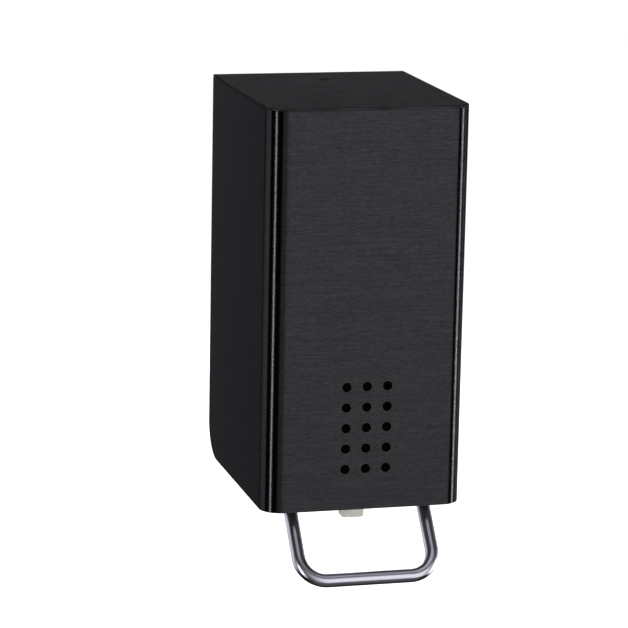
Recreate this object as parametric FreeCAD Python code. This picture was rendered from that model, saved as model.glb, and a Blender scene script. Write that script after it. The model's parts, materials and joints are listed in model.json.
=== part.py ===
import FreeCAD, Part
import math
import os

from FreeCAD import Vector

# Wall mounted soap dispenser with a push lever under the housing.
# Millimetres. X is the width, Y points into the wall (the wall is y = 0, the front is -Y), Z is up.
# Heights are written above the lower edge of the housing; save() moves everything so that the
# origin is the centre of the four wall screws.

# ---- housing ----
WIDTH = 108.0
DEPTH = 128.0
HEIGHT = 212.0
COVER_SHEET = 1.0
EDGE_RADIUS = 11.0
REAR_CORNER_RADIUS = 19.0
LID_SHEET = 1.0
LID_SEAM = 0.3
LID_SKIRT = 9.0
SIGHT_HOLE_RADIUS = 2.5
SIGHT_PITCH = 11.0
SIGHT_COLUMNS = 3
SIGHT_ROWS = 5
SIGHT_CENTRE_X = 0.3
SIGHT_CENTRE_Z = 44.0
KEY_HOLE_RADIUS = 2.5
KEY_HOLE_X = 1.0
KEY_HOLE_Y = -28.2

# ---- tinted strip behind the sight holes ----
WINDOW_HALF_WIDTH = 20.0
WINDOW_MARGIN = 8.0
WINDOW_SHEET = 1.2

# ---- wall plate ----
PLATE_SHEET = 1.5
PLATE_HALF_WIDTH = 52.0
PLATE_BOTTOM = 22.0
PLATE_TOP = 201.0
PLATE_FLANGE = 16.0
SCREW_SPACING_X = 60.0
SCREW_SPACING_Z = 120.0
SCREW_CENTRE_Z = 130.0
SCREW_HOLE_RADIUS = 2.75

# ---- shelf bracket ----
SHELF_SHEET = 2.0
SHELF_HALF_WIDTH = 46.0
SHELF_TOP = 50.0
SHELF_FRONT = -124.0
SHELF_UPSTAND = 64.0
RIVET_RADIUS = 2.0
RIVET_XS = (-38.0, -22.0, 22.0, 38.0)
RIVET_Z = 57.0

# ---- pump, on one vertical axis ----
PUMP_Y = -103.5
NECK_RADIUS = 14.0
NECK_BORE = 10.8
NECK_END = 36.2
NUT_RADIUS = 17.5
NUT_BOTTOM = 31.0
NUT_TOP = 46.5
BARREL_RADIUS = 8.9
BARREL_BORE = 6.5
BARREL_TOP = 53.0
BARREL_ROOF = 50.0
STEM_RADIUS = 4.5
STEM_BORE = 1.6
STEM_BOTTOM = -0.8
STEM_TOP = 40.0
TRUNNION_RADIUS = 2.0
TRUNNION_REACH = 10.5
SPOUT_WIDTH = 12.4
SPOUT_DEPTH = 10.4
SPOUT_BOTTOM = -10.4
SPOUT_TOP = 4.0

# ---- lever ----
PIVOT_Y = -117.5
PIVOT_Z = 18.0
AXLE_RADIUS = 3.0
BUSH_RADIUS = 5.0
CLIP_X = 47.4
CLIP_SHEET = 0.8
ROD_RADIUS = 3.57
ROD_HALF_SPAN = 36.25
ROD_BEND = 13.8
ROD_TILT = math.radians(42.2)
ROD_Y_AT_EDGE = -112.0
ROD_REACH = 45.0
ROD_TOP_Z = 14.0
YOKE_HALF_WIDTH = 42.0
SOCKET_Z = 11.4
SOCKET_Y = ROD_Y_AT_EDGE + SOCKET_Z * math.tan(ROD_TILT)

# ---- bottle ----
BOTTLE_HALF_WIDTH = 46.0
BOTTLE_FRONT = -123.0
BOTTLE_BACK = -16.0
BOTTLE_TOP = 184.0
BOTTLE_WALL = 1.8
MOUTH_Y = -75.0
MOUTH_RADIUS = 24.0
MOUTH_BORE = 20.0
MOUTH_TOP = 192.0
CAP_RADIUS = 27.0
CAP_TOP = 196.0

# ---- latch ----
LEAF_Z = 195.0
LEAF_SHEET = 0.8
LEAF_ROOT_Y = -3.5
LEAF_TIP_Y = -38.0

FIT = 0.05
GAP = 0.3
AXIS_X = Vector(1, 0, 0)
AXIS_Y = Vector(0, 1, 0)
AXIS_Z = Vector(0, 0, 1)


# ---- helpers ----
def box(x0, x1, y0, y1, z0, z1):
    return Part.makeBox(x1 - x0, y1 - y0, z1 - z0, Vector(x0, y0, z0))


def post(radius, z0, z1, x=0.0, y=PUMP_Y):
    return Part.makeCylinder(radius, z1 - z0, Vector(x, y, z0), AXIS_Z)


def ring(outer, inner, z0, z1, x=0.0, y=PUMP_Y):
    return post(outer, z0, z1, x, y).cut(post(inner, z0 - 1, z1 + 1, x, y))


def rod_x(radius, x0, x1, y, z):
    return Part.makeCylinder(radius, x1 - x0, Vector(x0, y, z), AXIS_X)


def rod_y(radius, y0, y1, x, z):
    return Part.makeCylinder(radius, y1 - y0, Vector(x, y0, z), AXIS_Y)


def mirrored(shape):
    return shape.mirror(Vector(0, 0, 0), AXIS_X)


def both_sides(shape):
    return Part.makeCompound([shape, mirrored(shape)])


def slab_x(points, x0, x1):
    """Closed outline given as (y, z) points, with thickness from x0 to x1."""
    corners = [Vector(x0, y, z) for y, z in points]
    face = Part.Face(Part.makePolygon(corners + corners[:1]))
    return face.extrude(Vector(x1 - x0, 0, 0))


def fillet_where(shape, radius, test):
    edges = [edge for edge in shape.Edges if test(edge.CenterOfMass, edge)]
    return shape.makeFillet(radius, edges)


def is_vertical(edge):
    box_of_edge = edge.BoundBox
    return box_of_edge.ZLength > 0.5 and box_of_edge.XLength < 0.01 and box_of_edge.YLength < 0.01


def front_rounded(half_width, front, back, radius, z0, z1):
    """Upright block whose two front vertical edges are round."""
    block = box(-half_width, half_width, front, back, z0, z1)
    return fillet_where(block, radius, lambda c, edge: is_vertical(edge) and c.y < front + 0.1)


def save(name, shape):
    placed = shape.copy()
    placed.translate(Vector(0, 0, -SCREW_CENTRE_Z))
    placed.exportStep(os.path.join("parts", name + ".step"))


# ---- cover ----
def cover_shell():
    top = HEIGHT - LID_SHEET - LID_SEAM
    outer = front_rounded(WIDTH / 2, -DEPTH, 0, EDGE_RADIUS, 0, top)
    inner = front_rounded(WIDTH / 2 - COVER_SHEET, COVER_SHEET - DEPTH, 5,
                          EDGE_RADIUS - COVER_SHEET, -5, top + 5)
    shell = outer.cut(inner)
    radius = REAR_CORNER_RADIUS
    corner = box(-WIDTH, WIDTH, -radius, 5, -5, radius)
    round_part = rod_x(radius, -WIDTH, WIDTH, -radius, radius)
    shell = shell.cut(corner.cut(round_part))
    for column in range(SIGHT_COLUMNS):
        for row in range(SIGHT_ROWS):
            x = SIGHT_CENTRE_X + (column - (SIGHT_COLUMNS - 1) / 2) * SIGHT_PITCH
            z = SIGHT_CENTRE_Z + (row - (SIGHT_ROWS - 1) / 2) * SIGHT_PITCH
            shell = shell.cut(rod_y(SIGHT_HOLE_RADIUS, -DEPTH - 5, -DEPTH + 5, x, z))
    return shell


def sight_window():
    half_height = (SIGHT_ROWS - 1) / 2 * SIGHT_PITCH + WINDOW_MARGIN
    face = -DEPTH + COVER_SHEET + FIT
    strip = box(SIGHT_CENTRE_X - WINDOW_HALF_WIDTH, SIGHT_CENTRE_X + WINDOW_HALF_WIDTH, face,
                face + WINDOW_SHEET, SIGHT_CENTRE_Z - half_height, SIGHT_CENTRE_Z + half_height)
    return fillet_where(strip, 3.0, lambda c, edge: edge.BoundBox.YLength > 1.0)


def cover_lid():
    under = HEIGHT - LID_SHEET
    plate = front_rounded(WIDTH / 2, -DEPTH, 0, EDGE_RADIUS, under, HEIGHT)
    plate = fillet_where(plate, LID_SHEET * 0.6,
                         lambda c, edge: c.z > HEIGHT - 0.01 and c.y < -0.1)
    skirt_half = WIDTH / 2 - COVER_SHEET - 0.1
    skirt_front = -DEPTH + COVER_SHEET + 0.1
    skirt_radius = EDGE_RADIUS - COVER_SHEET - 0.1
    skirt = front_rounded(skirt_half, skirt_front, -PLATE_FLANGE - 4, skirt_radius, under - LID_SKIRT, under)
    skirt = skirt.cut(front_rounded(skirt_half - LID_SHEET, skirt_front + LID_SHEET, 5,
                                    skirt_radius - LID_SHEET, under - LID_SKIRT - 5, under))
    lid = plate.fuse(skirt)
    return lid.cut(post(KEY_HOLE_RADIUS, under - 5, HEIGHT + 5, KEY_HOLE_X, KEY_HOLE_Y)).removeSplitter()


def cover_guides():
    """Four clips inside the cover that slide down over the wall plate's side flanges."""
    wall = WIDTH / 2 - COVER_SHEET
    lip = PLATE_HALF_WIDTH - PLATE_SHEET - GAP
    web_y = -PLATE_FLANGE - GAP
    clips = []
    for z0 in (60.0, 160.0):
        web = box(lip - 1.2, wall, web_y - 1.2, web_y, z0, z0 + 26)
        grip = box(lip - 1.2, lip, web_y, web_y + 10, z0, z0 + 26)
        clips.append(both_sides(web.fuse(grip)))
    return Part.makeCompound(clips)


def catch_bracket():
    under = HEIGHT - LID_SHEET
    front = LEAF_TIP_Y - 3.1
    foot = box(-10, 10, front - 12, front + 1.2, under - 1.2, under)
    drop = box(-10, 10, front, front + 1.2, 198, under)
    window = box(-6, 6, front - 1, front + 2, 199.3, 203)
    return foot.fuse(drop).cut(window)


# ---- wall plate and shelf ----
def back_plate():
    half = PLATE_HALF_WIDTH
    outer = box(-half, half, -PLATE_FLANGE, 0, PLATE_BOTTOM, PLATE_TOP)
    outer = fillet_where(outer, 2.5, lambda c, edge: is_vertical(edge) and c.y > -0.1)
    inner = box(-half + PLATE_SHEET, half - PLATE_SHEET, -PLATE_FLANGE - 5, -PLATE_SHEET,
                PLATE_BOTTOM - 5, PLATE_TOP + 5)
    inner = fillet_where(inner, 1.0, lambda c, edge: is_vertical(edge) and c.y > -PLATE_SHEET - 0.1)
    plate = outer.cut(inner)
    for x in (-SCREW_SPACING_X / 2, SCREW_SPACING_X / 2):
        for dz in (-SCREW_SPACING_Z / 2, SCREW_SPACING_Z / 2):
            plate = plate.cut(rod_y(SCREW_HOLE_RADIUS, -5, 5, x, SCREW_CENTRE_Z + dz))
    for x in RIVET_XS:
        plate = plate.cut(rod_y(RIVET_RADIUS, -5, 5, x, RIVET_Z))
    for x in (-6.0, 6.0):
        plate = plate.cut(rod_y(1.5, -5, 5, x, LEAF_Z - 4))
    return plate


def shelf_bracket():
    half = SHELF_HALF_WIDTH
    under = SHELF_TOP - SHELF_SHEET
    back = -PLATE_SHEET
    shelf = box(-half, half, SHELF_FRONT, back, under, SHELF_TOP)
    slot_half = NECK_RADIUS + 1.0
    shelf = shelf.cut(box(-slot_half, slot_half, SHELF_FRONT - 1, PUMP_Y, under - 1, SHELF_TOP + 1))
    shelf = shelf.cut(post(slot_half, under - 1, SHELF_TOP + 1))
    upstand = box(-half, half, back - SHELF_SHEET, back, under, SHELF_UPSTAND)
    outline = [(back, SHELF_TOP), (SHELF_FRONT, SHELF_TOP), (SHELF_FRONT, 14), (SHELF_FRONT + 4, 10),
               (PIVOT_Y + 11, 10), (-72, 34), (back, 34)]
    cheek = slab_x(outline, half - SHELF_SHEET, half)
    cheek = cheek.cut(rod_x(BUSH_RADIUS + FIT / 5, half - 5, half + 5, PIVOT_Y, PIVOT_Z))
    bracket = shelf.fuse([upstand, cheek, mirrored(cheek)]).removeSplitter()
    for x in RIVET_XS:
        bracket = bracket.cut(rod_y(RIVET_RADIUS, -10, 5, x, RIVET_Z))
    return bracket


def bracket_rivets():
    rivets = []
    head_y = -PLATE_SHEET - SHELF_SHEET
    for x in RIVET_XS:
        shank = rod_y(RIVET_RADIUS - FIT / 5, head_y, -0.2, x, RIVET_Z)
        head = rod_y(3.6, head_y - 1.4, head_y, x, RIVET_Z)
        head = fillet_where(head, 0.9, lambda c, edge: c.y < head_y - 1.3)
        rivets.append(shank.fuse(head).removeSplitter())
    return Part.makeCompound(rivets)


# ---- axle ----
def pivot_bushes():
    half = SHELF_HALF_WIDTH
    body = rod_x(BUSH_RADIUS, half - SHELF_SHEET, half, PIVOT_Y, PIVOT_Z)
    flange = rod_x(BUSH_RADIUS + 1.6, half, half + 1.0, PIVOT_Y, PIVOT_Z)
    bush = body.fuse(flange).cut(rod_x(AXLE_RADIUS + FIT, half - 5, half + 5, PIVOT_Y, PIVOT_Z))
    return both_sides(bush.removeSplitter())


def pivot_axle():
    end = 49.0
    axle = rod_x(AXLE_RADIUS, -end, end, PIVOT_Y, PIVOT_Z)
    axle = axle.makeChamfer(0.6, [e for e in axle.Edges if abs(abs(e.CenterOfMass.x) - end) < 0.01])
    for x0 in (CLIP_X, -CLIP_X - CLIP_SHEET):
        groove = rod_x(AXLE_RADIUS + 1, x0, x0 + CLIP_SHEET, PIVOT_Y, PIVOT_Z)
        axle = axle.cut(groove.cut(rod_x(AXLE_RADIUS - 0.5, x0, x0 + CLIP_SHEET, PIVOT_Y, PIVOT_Z)))
    return axle


def axle_clips():
    clip = rod_x(5.4, CLIP_X + 0.05, CLIP_X + CLIP_SHEET - 0.05, PIVOT_Y, PIVOT_Z)
    clip = clip.cut(rod_x(AXLE_RADIUS - 0.45, 40, 60, PIVOT_Y, PIVOT_Z))
    clip = clip.cut(box(40, 60, PIVOT_Y - 1.9, PIVOT_Y + 1.9, PIVOT_Z - 8, PIVOT_Z))
    return both_sides(clip)


def thrust_washers():
    inside = YOKE_HALF_WIDTH + GAP
    washer = rod_x(6.2, inside, inside + 1.4, PIVOT_Y, PIVOT_Z)
    return both_sides(washer.cut(rod_x(AXLE_RADIUS + 0.1, 40, 60, PIVOT_Y, PIVOT_Z)))


# ---- lever ----
def on_lever(x, reach):
    """Point on the lever's sloping plane, reach millimetres down from the housing's lower edge."""
    return Vector(x, ROD_Y_AT_EDGE - reach * math.sin(ROD_TILT), -reach * math.cos(ROD_TILT))


def lever_rod():
    top = -ROD_TOP_Z / math.cos(ROD_TILT)
    bend_start = ROD_REACH - ROD_BEND
    bend_x = ROD_HALF_SPAN - ROD_BEND
    bulge = ROD_BEND * math.sin(math.pi / 4)
    ends = [on_lever(-ROD_HALF_SPAN, top), on_lever(-ROD_HALF_SPAN, bend_start),
            on_lever(-bend_x, ROD_REACH), on_lever(bend_x, ROD_REACH),
            on_lever(ROD_HALF_SPAN, bend_start), on_lever(ROD_HALF_SPAN, top)]
    left_mid = on_lever(-bend_x - bulge, bend_start + bulge)
    right_mid = on_lever(bend_x + bulge, bend_start + bulge)
    path = Part.Wire([
        Part.LineSegment(ends[0], ends[1]).toShape(),
        Part.Arc(ends[1], left_mid, ends[2]).toShape(),
        Part.LineSegment(ends[2], ends[3]).toShape(),
        Part.Arc(ends[3], right_mid, ends[4]).toShape(),
        Part.LineSegment(ends[4], ends[5]).toShape()])
    section = Part.Wire([Part.Circle(ends[0], ends[1] - ends[0], ROD_RADIUS).toShape()])
    return path.makePipeShell([section], True, True)


def slab_hull(y0, z0, y1, z1, radius, x0, x1):
    """Rounded arm of constant width between two centres, with thickness from x0 to x1."""
    along = Vector(0, y1 - y0, z1 - z0)
    side = Vector(0, -along.z, along.y).normalize() * radius
    ends = [Vector(x0, y0, z0) + side, Vector(x0, y1, z1) + side,
            Vector(x0, y1, z1) - side, Vector(x0, y0, z0) - side]
    arm = Part.Face(Part.makePolygon(ends + ends[:1])).extrude(Vector(x1 - x0, 0, 0))
    return arm.fuse([rod_x(radius, x0, x1, y0, z0), rod_x(radius, x0, x1, y1, z1)])


def rocker_yoke():
    tube = rod_x(6.0, -YOKE_HALF_WIDTH, YOKE_HALF_WIDTH, PIVOT_Y, PIVOT_Z)
    tine = box(6.5, 9.5, PIVOT_Y, PUMP_Y + 4, PIVOT_Z - 4, PIVOT_Z + 4)
    tine = tine.cut(box(6, 10, PUMP_Y - 4, PUMP_Y + 5, PIVOT_Z - TRUNNION_RADIUS - GAP,
                        PIVOT_Z + TRUNNION_RADIUS + GAP))
    block = slab_hull(PIVOT_Y, PIVOT_Z, SOCKET_Y, SOCKET_Z, 6.4, 30.5, YOKE_HALF_WIDTH)
    yoke = tube.fuse([tine, mirrored(tine), block, mirrored(block)]).removeSplitter()
    yoke = yoke.cut(rod_x(AXLE_RADIUS + FIT, -60, 60, PIVOT_Y, PIVOT_Z))
    start = on_lever(ROD_HALF_SPAN, 20)
    finish = on_lever(ROD_HALF_SPAN, -(ROD_TOP_Z + 0.1) / math.cos(ROD_TILT))
    bore = Part.makeCylinder(ROD_RADIUS + FIT / 2, (finish - start).Length, start, finish - start)
    grub = rod_x(2.0, ROD_HALF_SPAN, 50, SOCKET_Y, SOCKET_Z)
    return yoke.cut([bore, mirrored(bore), grub, mirrored(grub)])


def rod_grub_screws():
    tip_x = ROD_HALF_SPAN + ROD_RADIUS + 0.02
    screw = rod_x(2.0 - FIT / 5, tip_x, YOKE_HALF_WIDTH - 0.2, SOCKET_Y, SOCKET_Z)
    hexagon = [Vector(YOKE_HALF_WIDTH - 1.4, SOCKET_Y + 1.1 * math.cos(k * math.pi / 3),
                      SOCKET_Z + 1.1 * math.sin(k * math.pi / 3)) for k in range(6)]
    socket = Part.Face(Part.makePolygon(hexagon + hexagon[:1])).extrude(Vector(3, 0, 0))
    return both_sides(screw.cut(socket))


# ---- bottle ----
def bottle_block(inset, z0, z1):
    block = box(-BOTTLE_HALF_WIDTH + inset, BOTTLE_HALF_WIDTH - inset,
                BOTTLE_FRONT + inset, BOTTLE_BACK - inset, z0, z1)
    block = fillet_where(block, 12.0 - inset, lambda c, edge: is_vertical(edge))
    return fillet_where(block, 5.0 - inset, lambda c, edge: edge.BoundBox.ZLength < 0.01)


def bottle():
    body = bottle_block(0, SHELF_TOP, BOTTLE_TOP)
    body = body.fuse([post(NECK_RADIUS, NECK_END, SHELF_TOP + BOTTLE_WALL),
                      post(MOUTH_RADIUS, BOTTLE_TOP - BOTTLE_WALL, MOUTH_TOP, 0, MOUTH_Y)])
    hollow = bottle_block(BOTTLE_WALL, SHELF_TOP + BOTTLE_WALL, BOTTLE_TOP - BOTTLE_WALL)
    hollow = hollow.fuse([post(NECK_BORE, NECK_END - 5, SHELF_TOP + 5),
                          post(MOUTH_BORE, BOTTLE_TOP - 5, MOUTH_TOP + 5, 0, MOUTH_Y)])
    return body.cut(hollow).removeSplitter()


def bottle_cap():
    outer = post(CAP_RADIUS, BOTTLE_TOP + 2, CAP_TOP, 0, MOUTH_Y)
    outer = fillet_where(outer, 1.5, lambda c, edge: c.z > CAP_TOP - 0.01)
    cap = outer.cut(post(MOUTH_RADIUS + GAP, BOTTLE_TOP, CAP_TOP - 2.6, 0, MOUTH_Y))
    grip = box(-3, 3, MOUTH_Y - 18, MOUTH_Y + 18, CAP_TOP - 0.5, CAP_TOP + 4)
    grip = fillet_where(grip, 1.2, lambda c, edge: c.z > CAP_TOP + 3.9)
    return cap.fuse(grip).removeSplitter()


def cap_seal():
    return ring(MOUTH_RADIUS - 0.2, MOUTH_BORE + 0.4, MOUTH_TOP + GAP, CAP_TOP - 2.6, 0, MOUTH_Y)


# ---- pump ----
def neck_nut():
    nut = post(NUT_RADIUS, NUT_BOTTOM, NUT_TOP)
    nut = nut.makeChamfer(0.8, [e for e in nut.Edges if e.BoundBox.ZLength < 0.01])
    nut = nut.cut([post(NECK_RADIUS + 0.1, NUT_BOTTOM + 2, NUT_TOP + 5),
                   post(BARREL_RADIUS + 0.2, NUT_BOTTOM - 5, NUT_TOP)])
    for k in range(18):
        angle = k * math.pi / 9
        x = NUT_RADIUS * math.cos(angle)
        y = PUMP_Y + NUT_RADIUS * math.sin(angle)
        nut = nut.cut(post(0.8, NUT_BOTTOM + 2.5, NUT_TOP + 1, x, y))
    return nut


def neck_gasket():
    return ring(NECK_RADIUS - 0.4, BARREL_RADIUS + 0.3, NUT_BOTTOM + 4, NECK_END)


def pump_barrel():
    barrel = post(BARREL_RADIUS, NUT_BOTTOM, BARREL_TOP)
    barrel = barrel.fuse(post(NECK_RADIUS - 0.4, NUT_BOTTOM + 2, NUT_BOTTOM + 4))
    cuts = [post(BARREL_BORE, NUT_BOTTOM - 5, BARREL_ROOF), post(1.25, BARREL_ROOF - 1, BARREL_TOP + 1)]
    for k in range(4):
        angle = (k + 0.5) * math.pi / 2
        cuts.append(post(1.0, BARREL_ROOF - 1, BARREL_TOP + 1,
                         3.0 * math.cos(angle), PUMP_Y + 3.0 * math.sin(angle)))
    return barrel.cut(cuts).removeSplitter()


def inlet_valve():
    disc = post(4.2, BARREL_ROOF - 1.4, BARREL_ROOF)
    bead = post(1.8, BARREL_TOP, BARREL_TOP + 1.2)
    return disc.fuse([post(1.2, BARREL_ROOF - 0.5, BARREL_TOP + 0.5), bead]).removeSplitter()


def return_spring():
    """Compression spring of square wire; wire is half its thickness."""
    wire = 0.42
    bottom = STEM_TOP + wire + 0.05
    height = BARREL_ROOF - wire - 0.05 - bottom
    helix = Part.makeHelix(height / 4, height, 5.3)
    helix.translate(Vector(0, PUMP_Y, bottom))
    start = helix.Edges[0].firstVertex().Point
    around = ((-wire, -wire), (wire, -wire), (wire, wire), (-wire, wire))
    corners = [start + Vector(x, 0, z) for x, z in around]
    section = Part.makePolygon(corners + corners[:1])
    return Part.Wire(helix.Edges).makePipeShell([section], True, True)


def piston_stem():
    stem = post(STEM_RADIUS, STEM_BOTTOM, STEM_TOP)
    stem = stem.fuse([post(6.0, 38, STEM_TOP), post(6.0, 32, 34),
                      rod_x(TRUNNION_RADIUS, -TRUNNION_REACH, TRUNNION_REACH, PUMP_Y, PIVOT_Z)])
    return stem.cut(post(STEM_BORE, STEM_BOTTOM - 5, STEM_TOP + 5)).removeSplitter()


def piston_seal():
    seal = ring(BARREL_BORE - FIT, STEM_RADIUS + 0.02, 34, 38)
    waist = ring(BARREL_BORE + 1, BARREL_BORE - 0.6, 35.2, 36.8)
    return seal.cut(waist)


def spout_tip():
    half_x = SPOUT_WIDTH / 2
    half_y = SPOUT_DEPTH / 2
    tip = box(-half_x, half_x, PUMP_Y - half_y, PUMP_Y + half_y, SPOUT_BOTTOM, SPOUT_TOP)
    tip = fillet_where(tip, 2.6, lambda c, edge: is_vertical(edge))
    tip = fillet_where(tip, 1.2, lambda c, edge: c.z < SPOUT_BOTTOM + 0.01)
    return tip.cut([post(STEM_RADIUS + 0.02, STEM_BOTTOM - 0.05, SPOUT_TOP + 5),
                    post(2.6, SPOUT_BOTTOM - 5, STEM_BOTTOM)])


def outlet_valve():
    valve = post(2.55, -7.5, STEM_BOTTOM - 0.1)
    return valve.cut([post(1.7, -5.8, STEM_BOTTOM + 1), box(-1.6, 1.6, PUMP_Y - 0.15, PUMP_Y + 0.15, -9, -5)])


# ---- latch ----
def latch_block():
    block = box(-10, 10, -7.5, -PLATE_SHEET, LEAF_Z - 7, LEAF_Z + 5)
    return block.cut([box(-6.5, 6.5, -8, -PLATE_SHEET - 1, LEAF_Z - 1.0, LEAF_Z + LEAF_SHEET + 1.0),
                      rod_y(1.5, -10, 5, -6.0, LEAF_Z - 4), rod_y(1.5, -10, 5, 6.0, LEAF_Z - 4)])


def latch_screws():
    screws = []
    for x in (-6.0, 6.0):
        head = rod_y(2.6, -9.1, -7.5, x, LEAF_Z - 4)
        screw = head.fuse(rod_y(1.48, -7.5, -0.2, x, LEAF_Z - 4)).removeSplitter()
        screws.append(screw.cut(box(x - 2, x + 2, -9.5, -8.4, LEAF_Z - 4.3, LEAF_Z - 3.7)))
    return Part.makeCompound(screws)


def latch_leaf():
    blade = box(-6, 6, LEAF_TIP_Y, LEAF_ROOT_Y, LEAF_Z, LEAF_Z + LEAF_SHEET)
    tab = box(-6, 6, LEAF_TIP_Y, LEAF_TIP_Y + LEAF_SHEET, LEAF_Z, LEAF_Z + 6)
    nose = box(-5, 5, LEAF_TIP_Y - 0.7, LEAF_TIP_Y, LEAF_Z + 4.8, LEAF_Z + 6)
    return blade.fuse([tab, nose]).removeSplitter()


NODES = {
    "cover_shell": cover_shell,
    "cover_lid": cover_lid,
    "sight_window": sight_window,
    "cover_guides": cover_guides,
    "catch_bracket": catch_bracket,
    "back_plate": back_plate,
    "shelf_bracket": shelf_bracket,
    "bracket_rivets": bracket_rivets,
    "pivot_bushes": pivot_bushes,
    "pivot_axle": pivot_axle,
    "axle_clips": axle_clips,
    "thrust_washers": thrust_washers,
    "lever_rod": lever_rod,
    "rocker_yoke": rocker_yoke,
    "rod_grub_screws": rod_grub_screws,
    "bottle": bottle,
    "bottle_cap": bottle_cap,
    "cap_seal": cap_seal,
    "neck_nut": neck_nut,
    "neck_gasket": neck_gasket,
    "pump_barrel": pump_barrel,
    "inlet_valve": inlet_valve,
    "return_spring": return_spring,
    "piston_stem": piston_stem,
    "piston_seal": piston_seal,
    "spout_tip": spout_tip,
    "outlet_valve": outlet_valve,
    "latch_block": latch_block,
    "latch_screws": latch_screws,
    "latch_leaf": latch_leaf,
}

os.makedirs("parts", exist_ok=True)
for node, make in NODES.items():
    shape = make()
    save(node, shape)
    print(node, shape.isValid(), len(shape.Solids), round(shape.Volume, 1))
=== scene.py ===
import json
import math

import bpy
from mathutils import Matrix, Vector


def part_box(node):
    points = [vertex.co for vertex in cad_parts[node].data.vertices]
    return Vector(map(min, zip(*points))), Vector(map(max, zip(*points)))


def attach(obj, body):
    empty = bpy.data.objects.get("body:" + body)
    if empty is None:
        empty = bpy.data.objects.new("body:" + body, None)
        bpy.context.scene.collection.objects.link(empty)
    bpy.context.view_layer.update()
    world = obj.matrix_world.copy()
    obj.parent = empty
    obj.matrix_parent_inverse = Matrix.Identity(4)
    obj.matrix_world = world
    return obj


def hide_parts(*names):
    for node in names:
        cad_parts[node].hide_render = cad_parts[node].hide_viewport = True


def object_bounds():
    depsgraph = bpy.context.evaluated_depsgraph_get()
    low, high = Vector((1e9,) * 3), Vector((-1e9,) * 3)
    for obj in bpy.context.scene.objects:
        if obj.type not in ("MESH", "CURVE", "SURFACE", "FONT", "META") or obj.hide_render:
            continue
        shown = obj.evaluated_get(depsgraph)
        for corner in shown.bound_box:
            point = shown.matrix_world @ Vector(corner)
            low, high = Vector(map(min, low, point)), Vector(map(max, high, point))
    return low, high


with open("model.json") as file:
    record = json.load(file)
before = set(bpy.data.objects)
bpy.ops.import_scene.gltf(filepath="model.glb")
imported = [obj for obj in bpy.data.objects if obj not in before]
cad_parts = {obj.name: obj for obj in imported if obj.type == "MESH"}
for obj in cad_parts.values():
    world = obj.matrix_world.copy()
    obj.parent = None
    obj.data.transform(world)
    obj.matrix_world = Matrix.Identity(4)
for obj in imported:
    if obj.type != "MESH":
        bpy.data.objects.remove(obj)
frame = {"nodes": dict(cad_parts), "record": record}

cad_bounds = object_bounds()

# ---- camera: the view's place and direction in the dispenser's frame, in metres ----
CAMERA_AT = Vector((-0.42663, -1.60078, 0.31567))
CAMERA_YAW = math.radians(15.104)
CAMERA_PITCH = math.radians(-12.563)
CAMERA_ROLL = math.radians(1.149)
CAMERA_LENS = 174.5


def make_camera():
    forward = Vector((math.sin(CAMERA_YAW) * math.cos(CAMERA_PITCH),
                      math.cos(CAMERA_YAW) * math.cos(CAMERA_PITCH), math.sin(CAMERA_PITCH)))
    level_right = forward.cross(Vector((0, 0, 1))).normalized()
    right = Matrix.Rotation(-CAMERA_ROLL, 3, forward) @ level_right
    up = right.cross(forward)
    data = bpy.data.cameras.new("camera")
    data.lens = CAMERA_LENS
    data.sensor_width = 36.0
    data.clip_start = 0.05
    data.clip_end = 50.0
    camera = bpy.data.objects.new("camera", data)
    camera.matrix_world = Matrix((
        (right.x, up.x, -forward.x, CAMERA_AT.x),
        (right.y, up.y, -forward.y, CAMERA_AT.y),
        (right.z, up.z, -forward.z, CAMERA_AT.z),
        (0, 0, 0, 1)))
    bpy.context.scene.collection.objects.link(camera)
    bpy.context.scene.camera = camera


# ---- studio ----
STUDIO_RADIUS = 2.2
TARGET = Vector((0, -0.064, 0))
COOL_WHITE = (0.92, 0.93, 1.0)
WORLD_STRENGTH = 1.06
FLOOR_HALF = 12.0
FLOOR_DROP = 0.35


def panel(name, azimuth, elevation, width, height, radiance, color=(1, 1, 1)):
    """Soft box facing the object. Azimuth 0 stands in front of it and 90 to its left.

    Angles are in degrees, width and height in metres."""
    a = math.radians(azimuth)
    e = math.radians(elevation)
    outward = Vector((-math.sin(a) * math.cos(e), -math.cos(a) * math.cos(e), math.sin(e)))
    data = bpy.data.lights.new(name, "AREA")
    data.shape = "RECTANGLE"
    data.size = width
    data.size_y = height
    data.color = color
    data.energy = radiance * math.pi * width * height
    light = bpy.data.objects.new(name, data)
    light.location = TARGET + outward * STUDIO_RADIUS
    light.rotation_euler = outward.to_track_quat("Z", "Y").to_euler()
    light.visible_camera = False
    bpy.context.scene.collection.objects.link(light)


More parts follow.
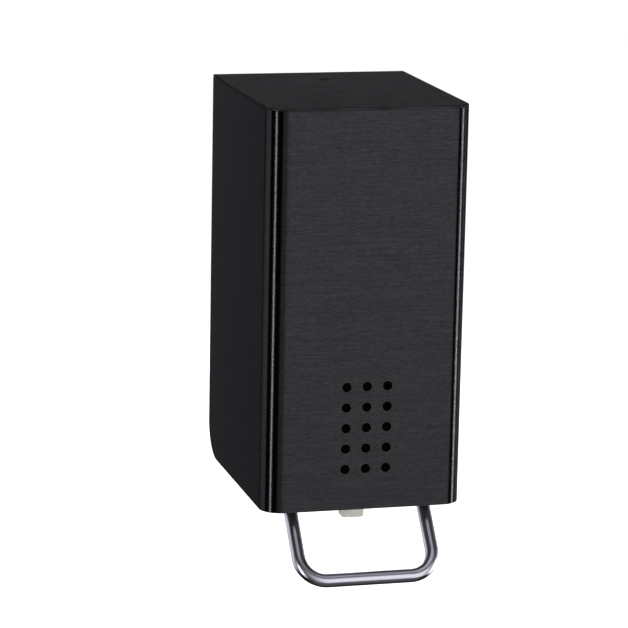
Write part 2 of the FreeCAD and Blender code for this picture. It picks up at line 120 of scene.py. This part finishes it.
def make_studio():
    """Panels, world and floor. Glossy surfaces see only the panels.

    The panels stand where the photo's reflections need them, not all round the object."""
    panel("key", -25, 5, 2.1, 2.6, 1.42)
    panel("key_feather", 12.5, 5, 1.1, 2.6, 0.60)
    panel("strip_left", 64, -8, 0.20, 1.8, 15.5)
    panel("strip_right", -79.5, -14, 0.20, 1.6, 25.0)
    panel("fill_left", 123.5, -3, 2.1, 2.1, 1.0)
    panel("fill_back_left", 166, 0, 1.4, 2.4, 0.47, COOL_WHITE)
    panel("fill_back_right", -138, -24, 1.4, 0.8, 2.6)
    panel("rim_right", -124, 22, 1.2, 0.8, 0.4)
    panel("edge_right", -107, -14, 0.5, 1.6, 2.6)
    panel("top_back", -166, 14, 1.8, 0.8, 3.6, COOL_WHITE)
    panel("overhead", 0, 80, 1.6, 1.6, 0.78)
    panel("floor_glow", 0, -60, 2.4, 1.8, 0.12)

    world = bpy.data.worlds.new("studio")
    world.use_nodes = True
    background = world.node_tree.nodes["Background"]
    background.inputs["Color"].default_value = (1, 1, 1, 1)
    background.inputs["Strength"].default_value = WORLD_STRENGTH
    world.cycles_visibility.glossy = False
    bpy.context.scene.world = world
    bpy.context.scene.view_settings.view_transform = "Standard"

    height = cad_bounds[0][2] - FLOOR_DROP
    corners = [(x * FLOOR_HALF, y * FLOOR_HALF, height)
               for x, y in ((-1, -1), (1, -1), (1, 1), (-1, 1))]
    mesh = bpy.data.meshes.new("floor")
    mesh.from_pydata(corners, [], [(0, 1, 2, 3)])
    floor = bpy.data.objects.new("floor", mesh)
    floor.visible_glossy = False
    bpy.context.scene.collection.objects.link(floor)
    material = bpy.data.materials.new("pale_floor")
    material.use_nodes = True
    shader = material.node_tree.nodes["Principled BSDF"]
    shader.inputs["Base Color"].default_value = (0.95, 0.95, 0.95, 1)
    shader.inputs["Roughness"].default_value = 0.9
    shader.inputs["Specular IOR Level"].default_value = 0.0
    mesh.materials.append(material)


# ---- building materials from nodes ----
class Nodes:
    """Short names for building a material's nodes."""

    def __init__(self, name, **values):
        self.material = bpy.data.materials.new(name)
        self.material.use_nodes = True
        self.tree = self.material.node_tree
        self.shader = self.tree.nodes["Principled BSDF"]
        for key, value in values.items():
            self.shader.inputs[key.replace("_", " ")].default_value = value

    def add(self, kind, **values):
        node = self.tree.nodes.new(kind)
        for key, value in values.items():
            setattr(node, key, value)
        return node

    def link(self, source, target):
        if isinstance(target, str):
            target = self.shader.inputs[target]
        self.tree.links.new(source, target)

    def position(self, scale=(1, 1, 1)):
        mapping = self.add("ShaderNodeMapping")
        mapping.inputs["Scale"].default_value = scale
        self.link(self.add("ShaderNodeTexCoord").outputs["Object"], mapping.inputs["Vector"])
        return mapping.outputs["Vector"]

    def noise(self, scale, detail=3.0, roughness=0.5, stretch=(1, 1, 1)):
        noise = self.add("ShaderNodeTexNoise")
        noise.inputs["Scale"].default_value = scale
        noise.inputs["Detail"].default_value = detail
        noise.inputs["Roughness"].default_value = roughness
        self.link(self.position(stretch), noise.inputs["Vector"])
        return noise.outputs["Fac"]

    def spread(self, value, low, high, start=0.0, end=1.0):
        ranges = self.add("ShaderNodeMapRange")
        limits = {"From Min": start, "From Max": end, "To Min": low, "To Max": high}
        for key, number in limits.items():
            ranges.inputs[key].default_value = number
        self.link(value, ranges.inputs["Value"])
        return ranges.outputs["Result"]

    def math(self, operation, first, second):
        node = self.add("ShaderNodeMath", operation=operation)
        for index, value in enumerate((first, second)):
            if isinstance(value, (int, float)):
                node.inputs[index].default_value = value
            else:
                self.link(value, node.inputs[index])
        return node.outputs["Value"]

    def tint(self, value, dark, light):
        mix = self.add("ShaderNodeMix", data_type="RGBA")
        mix.inputs["A"].default_value = (*dark, 1)
        mix.inputs["B"].default_value = (*light, 1)
        self.link(value, mix.inputs["Factor"])
        return mix.outputs["Result"]

    def bump(self, value, strength, distance):
        bump = self.add("ShaderNodeBump")
        bump.inputs["Strength"].default_value = strength
        bump.inputs["Distance"].default_value = distance
        self.link(value, bump.inputs["Height"])
        self.link(bump.outputs["Normal"], "Normal")


# ---- metals ----
def brushed_black(name, across):
    """Black coated steel, brushed along X on the lid or round the housing on its walls.

    The tangent lies across the brushing, which is the way a brushed surface smears a highlight.
    The dark specular tint keeps the brushing visible where a surface is seen at a low angle, at
    the price of a darker surface there."""
    edge = 0.18 if across else 0.37
    n = Nodes(name, Metallic=1.0, Anisotropic=0.97, Specular_Tint=(edge, edge, edge, 1))
    if across:
        streaks = n.noise(1.0, 3.0, 0.6, (22, 1500, 60))
        scratches = n.noise(1.0, 2.0, 0.5, (60, 330, 60))
        dark, light, gloss = (0.026, 0.026, 0.029), (0.055, 0.055, 0.059), (0.36, 0.28)
    else:
        streaks = n.noise(1.0, 3.0, 0.6, (50, 50, 3200))
        scratches = n.noise(1.0, 2.0, 0.5, (480, 480, 2000))
        dark, light, gloss = (0.029, 0.029, 0.032), (0.048, 0.048, 0.052), (0.345, 0.285)
    grain = n.math("ADD", n.math("MULTIPLY", streaks, 0.5), n.math("MULTIPLY", scratches, 0.5))
    grain = n.spread(grain, 0.0, 1.0, 0.36, 0.64)
    n.link(n.tint(grain, dark, light), "Base Color")
    n.link(n.spread(grain, *gloss), "Roughness")
    smear = n.add("ShaderNodeCombineXYZ")
    smear.inputs["Y" if across else "Z"].default_value = 1.0
    n.link(smear.outputs["Vector"], "Tangent")
    n.bump(grain, 0.2, 0.00006)
    return n.material


def powder_coat():
    """Black powder coating with a fine orange peel and a little dust in its hollows."""
    n = Nodes("powder_coat", Specular_IOR_Level=0.4)
    peel = n.noise(700.0, 2.0)
    dust = n.spread(n.noise(60.0, 5.0, 0.65), 0.0, 1.0, 0.45, 0.75)
    n.link(n.tint(dust, (0.013, 0.013, 0.014), (0.021, 0.021, 0.022)), "Base Color")
    n.link(n.spread(peel, 0.42, 0.58), "Roughness")
    n.bump(peel, 0.35, 0.0002)
    return n.material


def polished_rod():
    n = Nodes("polished_rod", Metallic=1.0)
    haze = n.noise(45.0, 5.0, 0.6)
    hairlines = n.noise(1.0, 3.0, 0.6, (2600, 300, 300))
    n.link(n.tint(haze, (0.535, 0.53, 0.615), (0.62, 0.615, 0.705)), "Base Color")
    n.link(n.spread(haze, 0.27, 0.34), "Roughness")
    n.bump(hairlines, 0.05, 0.00004)
    return n.material


def zinc_plate():
    """Bright zinc plating, turned and slightly cloudy."""
    n = Nodes("zinc_plate", Metallic=1.0)
    clouds = n.noise(260.0, 4.0, 0.6)
    turning = n.noise(1.0, 2.0, 0.5, (3500, 260, 260))
    n.link(n.tint(clouds, (0.50, 0.50, 0.48), (0.68, 0.68, 0.67)), "Base Color")
    n.link(n.spread(clouds, 0.24, 0.38), "Roughness")
    n.bump(turning, 0.15, 0.0001)
    return n.material


def blued_spring():
    n = Nodes("blued_spring", Metallic=1.0)
    temper = n.noise(220.0, 3.0)
    n.link(n.tint(temper, (0.10, 0.11, 0.15), (0.24, 0.24, 0.27)), "Base Color")
    n.link(n.spread(temper, 0.25, 0.4), "Roughness")
    n.bump(n.noise(1800.0, 2.0), 0.1, 0.00008)
    return n.material


# ---- plastics and rubber ----
def moulded(name, dark, light, roughness, grain=1200.0, strength=0.15, **values):
    """Moulded plastic: flow marks in the colour, spark-eroded grain in gloss and surface."""
    n = Nodes(name, **values)
    flow = n.spread(n.noise(35.0, 4.0, 0.6, (1, 1, 0.4)), 0.0, 1.0, 0.35, 0.65)
    fine = n.noise(grain, 3.0)
    n.link(n.tint(flow, dark, light), "Base Color")
    n.link(n.spread(fine, roughness - 0.06, roughness + 0.06), "Roughness")
    n.bump(fine, strength, 0.0001)
    return n.material


def painted_shade_window():
    """Dull black strip behind the sight holes, without reflection: painted shade that stands for
    the dark inside of the housing, so that nothing shows through the holes.
    """
    n = Nodes("painted_shade_window", Specular_IOR_Level=0.0)
    grain = n.noise(900.0, 2.0)
    # painted shade: near-black colour for the dark inside seen through the sight holes
    n.link(n.tint(grain, (0.0004, 0.0004, 0.0005), (0.0012, 0.0012, 0.0014)), "Base Color")
    n.link(n.spread(grain, 0.85, 1.0), "Roughness")
    n.bump(grain, 0.1, 0.00005)
    return n.material


def milky_bottle():
    n = Nodes("milky_polyethylene", Subsurface_Weight=0.35, Subsurface_Scale=0.003)
    flow = n.spread(n.noise(26.0, 4.0, 0.6, (1, 1, 0.3)), 0.0, 1.0, 0.35, 0.65)
    grain = n.noise(1400.0, 2.0)
    n.link(n.tint(flow, (0.29, 0.30, 0.285), (0.37, 0.38, 0.36)), "Base Color")
    n.link(n.spread(grain, 0.34, 0.46), "Roughness")
    n.bump(grain, 0.12, 0.0001)
    return n.material


def milky_silicone():
    n = Nodes("milky_silicone", Subsurface_Weight=0.4, Subsurface_Scale=0.002)
    flow = n.noise(300.0, 3.0)
    n.link(n.tint(flow, (0.41, 0.408, 0.378), (0.475, 0.473, 0.435)), "Base Color")
    n.link(n.spread(flow, 0.22, 0.34), "Roughness")
    n.bump(n.noise(1500.0, 2.0), 0.08, 0.00008)
    return n.material


def rubber():
    n = Nodes("seal_rubber", Specular_IOR_Level=0.25)
    grain = n.noise(1600.0, 3.0)
    bloom = n.noise(90.0, 3.0)
    n.link(n.tint(bloom, (0.012, 0.012, 0.012), (0.028, 0.028, 0.027)), "Base Color")
    n.link(n.spread(grain, 0.62, 0.8), "Roughness")
    n.bump(grain, 0.2, 0.0001)
    return n.material


def paint_nodes():
    """Gives each CAD node the finish of its slot, and returns the finishes for the new pieces.

    The lid is brushed another way than the walls, and the spout is softer than the other milky
    plastic, so these two have finishes of their own."""
    finishes = {
        "black_steel": brushed_black("brushed_black_walls", False),
        "coated_steel": powder_coat(),
        "stainless_rod": polished_rod(),
        "bright_steel": zinc_plate(),
        "spring_steel": blued_spring(),
        "black_plastic": moulded("black_nylon", (0.018, 0.018, 0.019), (0.032, 0.032, 0.033), 0.48),
        # the strip behind the sight holes carries painted shade, near black and without reflection
        "smoke_plastic": painted_shade_window(),
        "white_plastic": moulded("white_acetal", (0.44, 0.44, 0.42), (0.52, 0.52, 0.50), 0.42),
        "clear_plastic": milky_bottle(),
        "seal_rubber": rubber(),
    }
    slots = {entry["node"]: entry["material_slot"] for entry in frame["record"]["subparts"]}
    for node, obj in frame["nodes"].items():
        finish(obj, finishes[slots[node]])
    finish(frame["nodes"]["cover_lid"], brushed_black("brushed_black_lid", True))
    finish(frame["nodes"]["spout_tip"], milky_silicone())
    return finishes


def finish(obj, material):
    obj.data.materials.clear()
    obj.data.materials.append(material)


# ---- shapes ----
WELD_DISTANCE = 1e-6
BEVEL_ANGLE = math.radians(35)
SHARP_ANGLE = math.radians(38)
RING_POINTS = 160


def soften(width, *nodes):
    """Rounds the sharp edges of CAD nodes by modifiers, which leave their meshes as they are."""
    for node in nodes:
        obj = frame["nodes"][node]
        weld = obj.modifiers.new("weld", "WELD")
        weld.merge_threshold = WELD_DISTANCE
        bevel = obj.modifiers.new("soft_edges", "BEVEL")
        bevel.width = width
        bevel.segments = 2
        bevel.limit_method = "ANGLE"
        bevel.angle_limit = BEVEL_ANGLE
        bevel.harden_normals = True


def loft(name, *shells, capped=True):
    """Skins lists of rings. A shell's ends are closed, or joined to each other when not capped."""
    points, faces = [], []
    for rings in shells:
        first, count = len(points), len(rings[0])
        points += [point for ring in rings for point in ring]
        total = len(points) - first
        for low in range(0, total - count if capped else total, count):
            for k in range(count):
                here, beside = low + k, low + (k + 1) % count
                corners = here, beside, beside + count, here + count
                faces.append([first + corner % total for corner in corners])
        if capped:
            faces.append(list(reversed(range(first, first + count))))
            faces.append(list(range(first + total - count, first + total)))
    mesh = bpy.data.meshes.new(name)
    mesh.from_pydata(points, [], faces)
    mesh.shade_smooth()
    mesh.set_sharp_from_angle(angle=SHARP_ANGLE)
    obj = bpy.data.objects.new(name, mesh)
    bpy.context.scene.collection.objects.link(obj)
    return obj


def circle(centre, z, radius, count=RING_POINTS, flutes=0, depth=0.0):
    """Ring about a vertical axis, with shallow upright flutes if asked for."""
    ring = []
    for k in range(count):
        angle = k * math.tau / count
        reach = radius - depth * (0.5 - 0.5 * math.cos(angle * flutes))
        ring.append((centre.x + reach * math.cos(angle), centre.y + reach * math.sin(angle), z))
    return ring


def rounded_box(centre, z, half, radius, count=RING_POINTS):
    """Rounded rectangle, its points spaced by direction so that it lofts to a circle."""
    core = Vector((half[0] - radius, half[1] - radius))
    ring = []
    for k in range(count):
        angle = k * math.tau / count
        toward = Vector((math.cos(angle), math.sin(angle)))
        reach = min(size / max(abs(part), 1e-9) for size, part in zip(half, toward))
        if abs(toward.x) * reach > core.x and abs(toward.y) * reach > core.y:
            corner = Vector((math.copysign(core.x, toward.x), math.copysign(core.y, toward.y)))
            along = toward.dot(corner)
            reach = along + math.sqrt(along * along - corner.length_squared + radius * radius)
        ring.append((centre.x + toward.x * reach, centre.y + toward.y * reach, z))
    return ring


def place(finishes, piece, body, slot, *replaced):
    """Hangs a new piece on its body with its slot's finish, and hides what it replaces."""
    finish(piece, finishes[slot])
    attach(piece, body)
    if replaced:
        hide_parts(*replaced)


# ---- bottle ----
BOTTLE_FLOOR = -0.080
BOTTLE_SHOULDER = 0.054
BOTTLE_CORNER = 0.012
BOTTLE_EDGE = 0.005
BOTTLE_WALL = 0.0018
BOTTLE_HALF = Vector((0.046, 0.0535))
BOTTLE_CENTRE = Vector((0, -0.0695))
BOTTLE_FRONT = BOTTLE_CENTRE.y - BOTTLE_HALF.y
MOUTH = Vector((0, -0.075))
MOUTH_RADIUS = 0.024
MOUTH_BORE = 0.020
NECK = Vector((0, -0.1035))
NECK_RADIUS = 0.014
NECK_BORE = 0.0108
NECK_FLARE = 0.0002
NECK_FLARE_HEIGHT = 0.001
MOUTH_FLARE = 0.001
MOUTH_CHAMFER = 0.0005
RING_SPACING = 0.0013
EDGE_STEPS = 6
WALL_BAND = 0.003  # a point this near the plane of a wall is moved with it
PANEL_MARGIN = 0.016
PANEL_BORDER = 0.006
SIDE_PANEL_DEPTH = 0.0014
FRONT_PANEL_DEPTH = 0.0009
RIB_PITCH = 0.0095
RIB_HEIGHT = 0.0005


def ease(distance):
    """0 to 1 over a panel's soft border."""
    t = max(0.0, min(1.0, distance / PANEL_BORDER))
    return t * t * (3 - 2 * t)


def pressed(point):
    """Moves a wall point in where the bottle has its ribbed side panels and its front panel."""
    x, y, z = point
    level = ease(z - BOTTLE_FLOOR - PANEL_MARGIN) * ease(BOTTLE_SHOULDER - PANEL_MARGIN - z)
    if abs(x) > BOTTLE_HALF.x - WALL_BAND:
        side = level * ease(BOTTLE_HALF.y - PANEL_MARGIN - abs(y - BOTTLE_CENTRE.y))
        ribs = RIB_HEIGHT * math.cos((z - BOTTLE_FLOOR) * math.tau / RIB_PITCH)
        x -= math.copysign(side * (SIDE_PANEL_DEPTH + ribs), x)
    if y < BOTTLE_FRONT + WALL_BAND:
        y += level * ease(BOTTLE_HALF.x - PANEL_MARGIN - abs(x)) * FRONT_PANEL_DEPTH
    return x, y, z


def wall_rings(inset):
    """The bottle's wall from floor to shoulder, drawn in by inset, with rounded edges."""
    edge = BOTTLE_EDGE - inset
    angles = [k * math.pi / 2 / EDGE_STEPS for k in range(EDGE_STEPS + 1)]
    steps = [(edge * (1 - math.sin(angle)), edge * math.cos(angle)) for angle in angles]
    straight = BOTTLE_SHOULDER - BOTTLE_FLOOR - 2 * BOTTLE_EDGE
    levels = [(BOTTLE_FLOOR + BOTTLE_EDGE - rise, shrink) for shrink, rise in steps]
    levels += [(BOTTLE_FLOOR + BOTTLE_EDGE + RING_SPACING * k, 0.0)
               for k in range(1, int(straight / RING_SPACING))]
    levels += [(BOTTLE_SHOULDER - BOTTLE_EDGE + rise, shrink) for shrink, rise in reversed(steps)]
    rings = []
    for z, shrink in levels:
        drawn = inset + shrink
        half = BOTTLE_HALF - Vector((drawn, drawn))
        ring = rounded_box(BOTTLE_CENTRE, z, half, BOTTLE_CORNER - drawn)
        rings.append([pressed(point) for point in ring])
    return rings


def make_bottle():
    """Blow moulded bottle with a filling mouth above, a pump neck below and pressed panels."""
    low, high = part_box("bottle")
    foot, top = low[2], high[2]
    outside = [circle(NECK, foot, NECK_RADIUS),
               circle(NECK, BOTTLE_FLOOR - NECK_FLARE_HEIGHT, NECK_RADIUS),
               circle(NECK, BOTTLE_FLOOR, NECK_RADIUS + NECK_FLARE)]
    outside += wall_rings(0.0)
    outside += [circle(MOUTH, BOTTLE_SHOULDER, MOUTH_RADIUS + MOUTH_FLARE),
                circle(MOUTH, BOTTLE_SHOULDER + MOUTH_FLARE, MOUTH_RADIUS),
                circle(MOUTH, top - MOUTH_CHAMFER, MOUTH_RADIUS),
                circle(MOUTH, top, MOUTH_RADIUS - MOUTH_CHAMFER)]
    inside = [circle(NECK, foot, NECK_BORE), circle(NECK, BOTTLE_FLOOR + BOTTLE_WALL, NECK_BORE)]
    inside += wall_rings(BOTTLE_WALL)
    inside += [circle(MOUTH, BOTTLE_SHOULDER - BOTTLE_WALL, MOUTH_BORE),
               circle(MOUTH, top - MOUTH_CHAMFER, MOUTH_BORE),
               circle(MOUTH, top, MOUTH_BORE + MOUTH_CHAMFER)]
    return loft("bottle_shell", outside + inside[::-1], capped=False)


# ---- level marks on the bottle's front panel ----
MARK_COUNT = 9
MARK_PITCH = 0.010
MARK_LOWEST = 0.028
MARK_HALF_LONG = 0.011
MARK_HALF_SHORT = 0.006
MARK_HALF_HEIGHT = 0.0006
MARK_EDGE = 0.0002
MARK_POINTS = 48
MARK_BURIED = 0.0004  # how deep a bar's back lies in the bottle's wall
MARK_BEHIND_FRONT = 0.0003


def make_level_marks():
    """Moulded level bars on the front panel, a long one every third."""
    back = BOTTLE_FRONT + FRONT_PANEL_DEPTH + MARK_BURIED
    front = BOTTLE_FRONT + MARK_BEHIND_FRONT
    middle = Vector((0, (back + front) / 2))
    half_y = (back - front) / 2
    profile = ((-MARK_HALF_HEIGHT, MARK_EDGE), (MARK_EDGE - MARK_HALF_HEIGHT, 0),
               (MARK_HALF_HEIGHT - MARK_EDGE, 0), (MARK_HALF_HEIGHT, MARK_EDGE))
    bars = []
    for k in range(MARK_COUNT):
        z = BOTTLE_FLOOR + MARK_LOWEST + MARK_PITCH * k
        half_x = MARK_HALF_LONG if k % 3 == 0 else MARK_HALF_SHORT
        bars.append([rounded_box(middle, z + rise, (half_x - shrink, half_y - shrink),
                                 MARK_EDGE, MARK_POINTS) for rise, shrink in profile])
    return loft("bottle_level_marks", *bars)


# ---- filling cap ----
CAP_RADIUS = 0.027
CAP_BORE = 0.0243
CAP_HEIGHT = 0.010
CAP_ROOF = 0.0026
CAP_POINTS = 480
CAP_MIDDLE = 0.001  # radius of the small faces that close its middle
FLUTES = 60
FLUTE_DEPTH = 0.0007
GROOVE_OUTSIDE = 0.0222
GROOVE_INSIDE = 0.0202
GROOVE_SLOPE = 0.0004
GROOVE_DEPTH = 0.0005
GRIP_HEIGHT = 0.0045
GRIP_HALF = Vector((0.003, 0.018))
GRIP_CORNER = 0.0029
GRIP_WAIST = 0.35
GRIP_WAIST_SPREAD = 0.007


def make_cap():
    """Screw cap with a fluted skirt and a shallow ring turned in its top."""
    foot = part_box("bottle_cap")[0][2]
    top = foot + CAP_HEIGHT
    ceiling = top - CAP_ROOF
    groove = top - GROOVE_DEPTH
    # radius, height and flute depth, from the middle of the ceiling round the skirt to the top
    profile = ((CAP_MIDDLE, ceiling, 0), (CAP_BORE, ceiling, 0), (CAP_BORE, foot, 0),
               (CAP_RADIUS - 0.0004, foot, 0), (CAP_RADIUS, foot + 0.0004, 0),
               (CAP_RADIUS, foot + 0.0009, 0), (CAP_RADIUS, foot + 0.0014, FLUTE_DEPTH),
               (CAP_RADIUS, top - 0.0028, FLUTE_DEPTH), (CAP_RADIUS, top - 0.0019, 0),
               (CAP_RADIUS, top - 0.0015, 0), (CAP_RADIUS - 0.0002, top - 0.0008, 0),
               (CAP_RADIUS - 0.0006, top - 0.0003, 0), (CAP_RADIUS - 0.0015, top, 0),
               (GROOVE_OUTSIDE, top, 0), (GROOVE_OUTSIDE - GROOVE_SLOPE, groove, 0),
               (GROOVE_INSIDE + GROOVE_SLOPE, groove, 0), (GROOVE_INSIDE, top, 0),
               (CAP_MIDDLE, top, 0))
    rings = [circle(MOUTH, z, radius, CAP_POINTS, FLUTES, depth) for radius, z, depth in profile]
    return loft("fill_cap_shell", rings)


def make_cap_grip():
    """Turning bar across the cap, waisted in the middle for finger and thumb."""
    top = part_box("bottle_cap")[1][2]
    foot = top - GRIP_HEIGHT
    # height and how far the sides are drawn in there
    profile = ((foot, -0.0008), (foot + 0.0005, -0.0003), (foot + 0.0012, 0),
               (top - 0.0012, 0.0002), (top - 0.0005, 0.0005), (top - 0.0001, 0.0010),
               (top, 0.0016))
    rings = []
    for z, shrink in profile:
        half = GRIP_HALF - Vector((shrink, shrink))
        ring = []
        for x, y, level in rounded_box(MOUTH, z, half, GRIP_CORNER - max(shrink, 0)):
            waist = 1 - GRIP_WAIST * math.exp(-((y - MOUTH.y) / GRIP_WAIST_SPREAD) ** 2)
            ring.append((x * waist, y, level))
        rings.append(ring)
    return loft("fill_cap_grip", rings)


make_camera()
make_studio()
finishes = paint_nodes()

place(finishes, make_bottle(), "wall_unit", "clear_plastic", "bottle")
place(finishes, make_level_marks(), "wall_unit", "clear_plastic")
place(finishes, make_cap(), "fill_cap", "white_plastic", "bottle_cap")
place(finishes, make_cap_grip(), "fill_cap", "white_plastic")

soften(0.0003, "rocker_yoke", "latch_block")
soften(0.0002, "shelf_bracket", "cover_guides", "catch_bracket")
soften(0.0005, "cover_lid")
soften(0.0001, "latch_leaf", "axle_clips", "thrust_washers")
